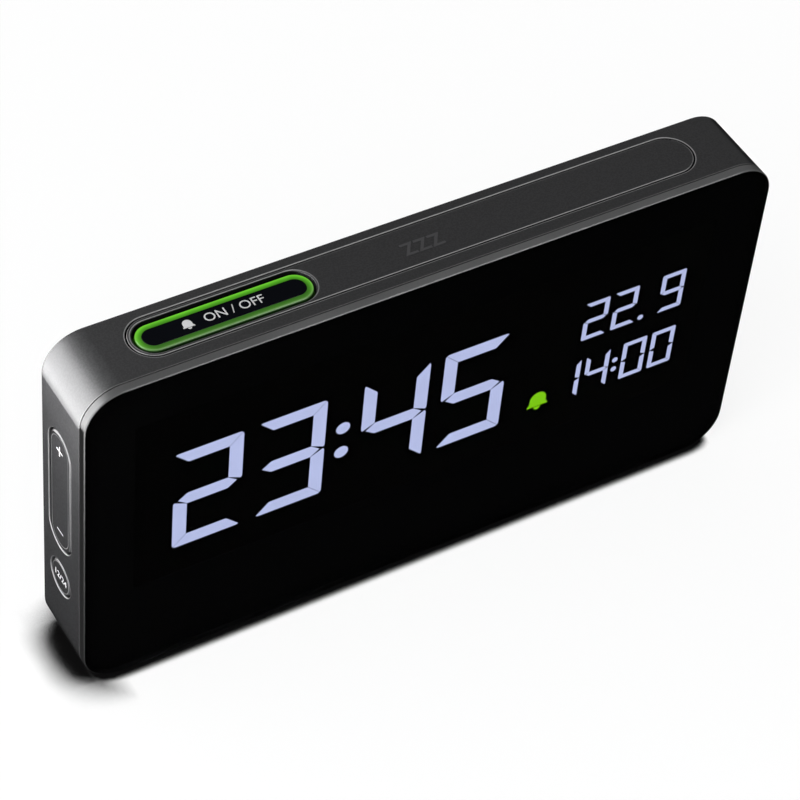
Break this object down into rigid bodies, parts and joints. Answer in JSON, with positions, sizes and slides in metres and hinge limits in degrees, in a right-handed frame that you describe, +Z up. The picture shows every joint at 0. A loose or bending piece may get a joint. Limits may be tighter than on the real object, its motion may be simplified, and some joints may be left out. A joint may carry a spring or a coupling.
{
  "type": "digital clock",
  "caption": "Slim digital alarm clock standing on its long edge, with a smoked front lens, a snooze bar on top, a lit alarm key and side keys.",
  "frame": {"origin": "middle of the base, on the surface that the feet stand on", "axes": "+Z up, +X to the right of someone facing the display, +Y away from them, the display faces -Y"},
  "size_m": [0.2006, 0.024, 0.1074],
  "materials": {
    "case_plastic": "fine spark-eroded texture, satin",
    "key_plastic": "fine spark-eroded texture, satin",
    "rim_plastic": "smooth satin",
    "smoked_lens": "polished",
    "lit_green": "translucent, lit from below",
    "black_gloss": "polished",
    "clear_plate": "polished",
    "white_film": "matt",
    "frame_plastic": "moulded, black so that nothing shows round the digits",
    "dark_glass": "polished, dark where no segment is lit",
    "circuit_board": "solder mask",
    "black_part": "moulded",
    "steel": "plated",
    "spring_steel": "plated",
    "cell_sleeve": "printed sleeve, left plain",
    "soft_rubber": "matt",
    "contact_rubber": "silicone",
    "ribbon_film": "flat",
    "lamp_body": "moulded"
  },
  "bodies": {
    "clock_body": {"front_rim": "rim_plastic", "front_lens": "smoked_lens", "housing": "case_plastic", "foot_left": "soft_rubber", "foot_right": "soft_rubber", "rear_cover": "case_plastic", "cover_screws": "steel", "display_frame": "frame_plastic", "display_glass": "dark_glass", "diffuser_film": "white_film", "light_guide": "clear_plate", "reflector_film": "white_film", "lamp_strip": "lamp_body", "contact_strip_top": "contact_rubber", "contact_strip_bottom": "contact_rubber", "main_board": "circuit_board", "control_chip": "black_part", "clock_crystal": "steel", "board_screws": "steel", "top_board": "circuit_board", "top_switches": "black_part", "alarm_lamps": "lamp_body", "side_board": "circuit_board", "side_switches": "black_part", "set_switches": "black_part", "top_ribbon": "ribbon_film", "side_ribbon": "ribbon_film", "ribbon_sockets": "ribbon_film", "snooze_springs": "spring_steel", "rocker_pin": "steel", "battery_cell_1": "cell_sleeve", "battery_cell_2": "cell_sleeve", "battery_cell_3": "cell_sleeve", "battery_contacts": "spring_steel", "speaker": "steel", "supply_inlet": "black_part"},
    "snooze_bar": {"snooze_bar": "key_plastic"},
    "alarm_key": {"alarm_light_ring": "lit_green", "alarm_button": "black_gloss"},
    "rocker": {"rocker_button": "key_plastic"},
    "format_key": {"format_button": "key_plastic"},
    "time_set_key": {"time_set_button": "key_plastic"},
    "alarm_set_key": {"alarm_set_button": "key_plastic"},
    "date_set_key": {"date_set_button": "key_plastic"},
    "battery_door": {"battery_door": "case_plastic"}
  },
  "joints": [
    {"name": "snooze_press", "type": "slide", "parent": "clock_body", "child": "snooze_bar", "axis": [0, 0, -1], "range_m": [0, 0.0006], "stiffness_N_per_m": 900, "springref_m": -0.001, "deforming": ["snooze_springs"]},
    {"name": "alarm_press", "type": "slide", "parent": "clock_body", "child": "alarm_key", "axis": [0, 0, -1], "range_m": [0, 0.0006], "stiffness_N_per_m": 600, "springref_m": -0.001},
    {"name": "rocker_tilt", "type": "hinge", "parent": "clock_body", "child": "rocker", "pos_m": [-0.0962, 0.00165, 0.063], "axis": [0, 1, 0], "range_deg": [-2, 2], "stiffness_Nm_per_rad": 0.2},
    {"name": "format_press", "type": "slide", "parent": "clock_body", "child": "format_key", "axis": [1, 0, 0], "range_m": [0, 0.0006], "stiffness_N_per_m": 600, "springref_m": -0.001},
    {"name": "time_set_press", "type": "slide", "parent": "clock_body", "child": "time_set_key", "axis": [0, -1, 0], "range_m": [0, 0.0006], "stiffness_N_per_m": 600, "springref_m": -0.001},
    {"name": "alarm_set_press", "type": "slide", "parent": "clock_body", "child": "alarm_set_key", "axis": [0, -1, 0], "range_m": [0, 0.0006], "stiffness_N_per_m": 600, "springref_m": -0.001},
    {"name": "date_set_press", "type": "slide", "parent": "clock_body", "child": "date_set_key", "axis": [0, -1, 0], "range_m": [0, 0.0006], "stiffness_N_per_m": 600, "springref_m": -0.001},
    {"name": "battery_door_hinge", "type": "hinge", "parent": "clock_body", "child": "battery_door", "pos_m": [0, 0.012, 0.0054], "axis": [-1, 0, 0], "range_deg": [0, 70]}
  ]
}
